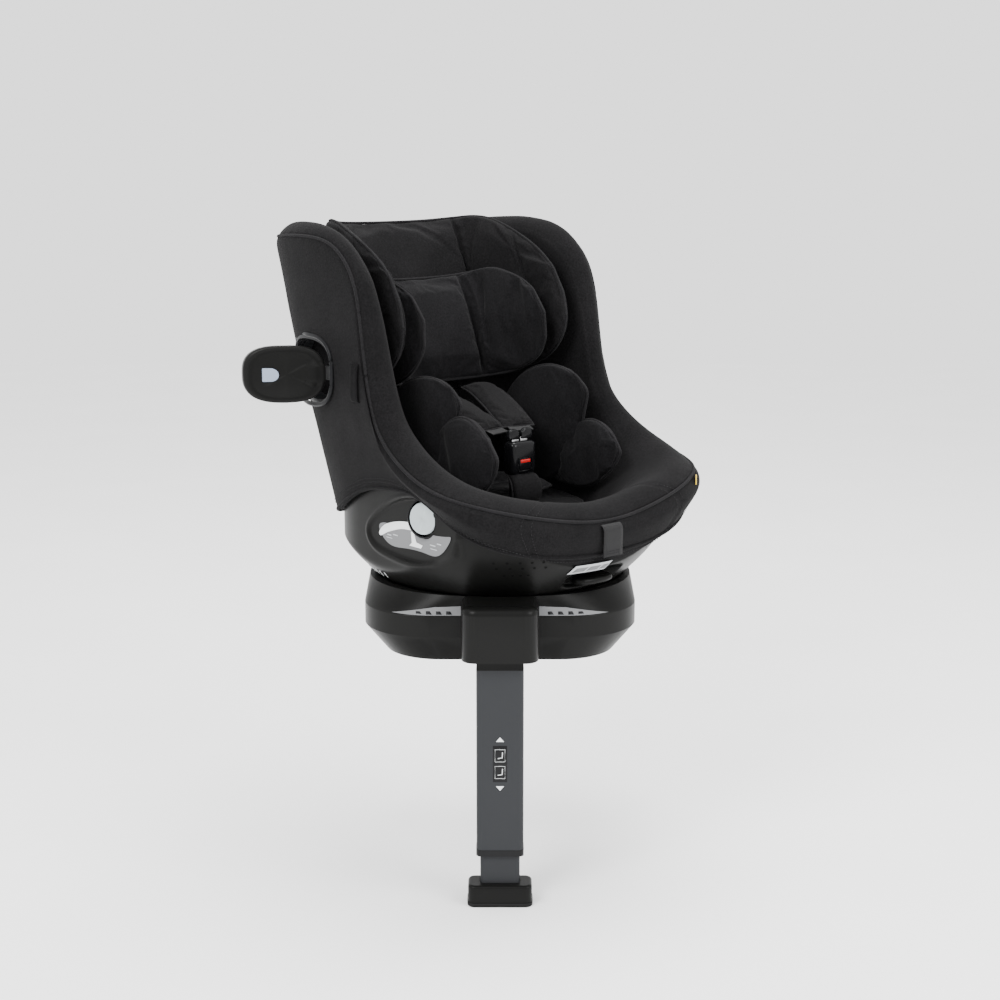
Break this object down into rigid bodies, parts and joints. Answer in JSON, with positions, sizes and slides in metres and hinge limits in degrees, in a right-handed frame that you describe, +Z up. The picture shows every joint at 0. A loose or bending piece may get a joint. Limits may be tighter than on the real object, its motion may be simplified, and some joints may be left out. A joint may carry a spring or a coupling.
{
  "type": "swivelling child car seat",
  "caption": "Child car seat with a padded tub on a turntable base, side wings, headrest, harness, folding support leg and rear anchor connectors.",
  "frame": {"origin": "on the swivel axis, in the plane of the base's underside", "axes": "+Z up; -Y towards the support leg; +Y towards the rear anchor connectors; the seat is turned 40 degrees about +Z from facing -Y"},
  "size_m": [0.6586, 0.632, 0.9313],
  "materials": {
    "fabric": "woven",
    "fabric_insert": "knit",
    "webbing": "woven",
    "plastic_dark": "satin",
    "plastic_black": "gloss",
    "plastic_grey": "satin",
    "label_grey": "satin",
    "button_grey": "satin",
    "button_red": "gloss",
    "steel": "zinc plated",
    "painted": "powder coat",
    "rubber": "matte",
    "foam": "moulded"
  },
  "bodies": {
    "base": {"base_lower_tray": "plastic_dark", "base_upper_housing": "plastic_dark", "leg_block": "plastic_dark", "leg_pin": "steel", "base_labels": "label_grey", "base_chassis": "steel", "turntable_race": "steel", "anchor_guide_tubes": "steel"},
    "anchor_left": {"anchor_arm_left": "steel", "anchor_cover_left": "plastic_dark"},
    "anchor_right": {"anchor_arm_right": "steel", "anchor_cover_right": "plastic_dark"},
    "hook_left": {"anchor_hook_left": "steel"},
    "hook_right": {"anchor_hook_right": "steel"},
    "anchor_release_left": {"anchor_button_left": "plastic_grey"},
    "anchor_release_right": {"anchor_button_right": "plastic_grey"},
    "leg_upper": {"leg_outer_tube": "painted", "leg_knuckle": "plastic_dark", "leg_collar": "plastic_black"},
    "leg_release": {"leg_button": "plastic_grey"},
    "leg_lower": {"leg_inner_tube": "painted", "leg_foot": "plastic_dark", "leg_foot_pad": "rubber"},
    "turntable": {"turntable_disc": "plastic_dark", "recline_cradle": "plastic_dark"},
    "seat": {"seat_cover": "fabric", "seat_shell": "foam", "bowl_shell": "plastic_dark", "recline_frame": "steel", "pod_plates": "plastic_dark", "pod_labels": "label_grey", "headrest_rails": "plastic_dark", "back_pad": "fabric", "seat_pad": "fabric", "body_insert": "fabric_insert", "crotch_pad": "fabric", "crotch_strap": "webbing", "buckle_body": "plastic_black", "adjuster_housing": "plastic_dark", "adjuster_strap": "webbing", "back_hatch": "plastic_dark", "shoulder_straps": "webbing", "harness_holders": "webbing", "guard_bezel_left": "plastic_grey", "guard_bezel_right": "plastic_grey", "shoulder_pad_left": "fabric", "shoulder_pad_right": "fabric", "buckle_tongue_left": "plastic_black", "buckle_tongue_right": "plastic_black"},
    "headrest": {"headrest_pad": "fabric", "headrest_board": "plastic_dark", "head_pillow": "fabric_insert"},
    "headrest_release": {"headrest_handle": "plastic_grey"},
    "guard_left": {"guard_panel_left": "plastic_grey"},
    "guard_right": {"guard_panel_right": "plastic_grey"},
    "turn_release_left": {"turn_button_left": "button_grey"},
    "turn_release_right": {"turn_button_right": "button_grey"},
    "recline_release": {"recline_lever": "plastic_black"},
    "harness_release": {"adjuster_lever": "steel"},
    "buckle_release": {"buckle_button": "button_red"}
  },
  "joints": [
    {"name": "anchor_slide_left", "type": "slide", "parent": "base", "child": "anchor_left", "axis": [0, 1, 0], "range_m": [0, 0.1]},
    {"name": "hook_turn_left", "type": "hinge", "parent": "anchor_left", "child": "hook_left", "pos_m": [-0.14, 0.236, 0.043], "axis": [1, 0, 0], "range_deg": [0, 14], "stiffness_Nm_per_rad": 0.4, "springref_deg": -5.73},
    {"name": "anchor_button_press_left", "type": "slide", "parent": "anchor_left", "child": "anchor_release_left", "axis": [0, -1, 0], "range_m": [0, 0.003], "stiffness_N_per_m": 500},
    {"name": "anchor_slide_right", "type": "slide", "parent": "base", "child": "anchor_right", "axis": [0, 1, 0], "range_m": [0, 0.1]},
    {"name": "hook_turn_right", "type": "hinge", "parent": "anchor_right", "child": "hook_right", "pos_m": [0.14, 0.236, 0.043], "axis": [1, 0, 0], "range_deg": [0, 14], "stiffness_Nm_per_rad": 0.4, "springref_deg": -5.73},
    {"name": "anchor_button_press_right", "type": "slide", "parent": "anchor_right", "child": "anchor_release_right", "axis": [0, -1, 0], "range_m": [0, 0.003], "stiffness_N_per_m": 500},
    {"name": "leg_fold", "type": "hinge", "parent": "base", "child": "leg_upper", "pos_m": [0, -0.215, 0.028], "axis": [-1, 0, 0], "range_deg": [-90, 0]},
    {"name": "leg_extend", "type": "slide", "parent": "leg_upper", "child": "leg_lower", "axis": [0, 0, -1], "range_m": [-0.02, 0.17]},
    {"name": "leg_button_press", "type": "slide", "parent": "leg_upper", "child": "leg_release", "axis": [0, -1, 0], "range_m": [0, 0.002], "stiffness_N_per_m": 500},
    {"name": "seat_turn", "type": "hinge", "parent": "base", "child": "turntable", "pos_m": [0, 0, 0.05], "axis": [0, 0, 1], "continuous": true},
    {"name": "seat_recline", "type": "hinge", "parent": "turntable", "child": "seat", "pos_m": [0, 0, 0.315], "axis": [-0.766, -0.6428, 0], "range_deg": [0, 14]},
    {"name": "headrest_height", "type": "slide", "parent": "seat", "child": "headrest", "axis": [-0.2512, 0.2993, 0.9205], "range_m": [0, 0.13]},
    {"name": "headrest_handle_pull", "type": "slide", "parent": "headrest", "child": "headrest_release", "axis": [-0.2512, 0.2993, 0.9205], "range_m": [0, 0.006], "stiffness_N_per_m": 500},
    {"name": "guard_left_turn", "type": "hinge", "parent": "seat", "child": "guard_left", "pos_m": [0.10499, 0.22647, 0.386], "axis": [0, 0, -1], "range_deg": [0, 72]},
    {"name": "guard_right_turn", "type": "hinge", "parent": "seat", "child": "guard_right", "pos_m": [-0.24126, -0.06407, 0.386], "axis": [0, 0, 1], "range_deg": [-72, 0]},
    {"name": "turn_button_left_press", "type": "slide", "parent": "seat", "child": "turn_release_left", "axis": [-0.766, -0.6428, 0], "range_m": [0, 0.004], "stiffness_N_per_m": 500},
    {"name": "turn_button_right_press", "type": "slide", "parent": "seat", "child": "turn_release_right", "axis": [0.766, 0.6428, 0], "range_m": [0, 0.004], "stiffness_N_per_m": 500},
    {"name": "recline_lever_pull", "type": "slide", "parent": "seat", "child": "recline_release", "axis": [0.6428, -0.766, 0], "range_m": [0, 0.012], "stiffness_N_per_m": 500},
    {"name": "harness_lever_press", "type": "hinge", "parent": "seat", "child": "harness_release", "pos_m": [0.13498, -0.16087, 0.197], "axis": [0.766, 0.6428, 0], "range_deg": [0, 8], "stiffness_Nm_per_rad": 0.4},
    {"name": "buckle_button_press", "type": "slide", "parent": "seat", "child": "buckle_release", "axis": [-0.6428, 0.766, 0], "range_m": [0, 0.003], "stiffness_N_per_m": 500}
  ]
}
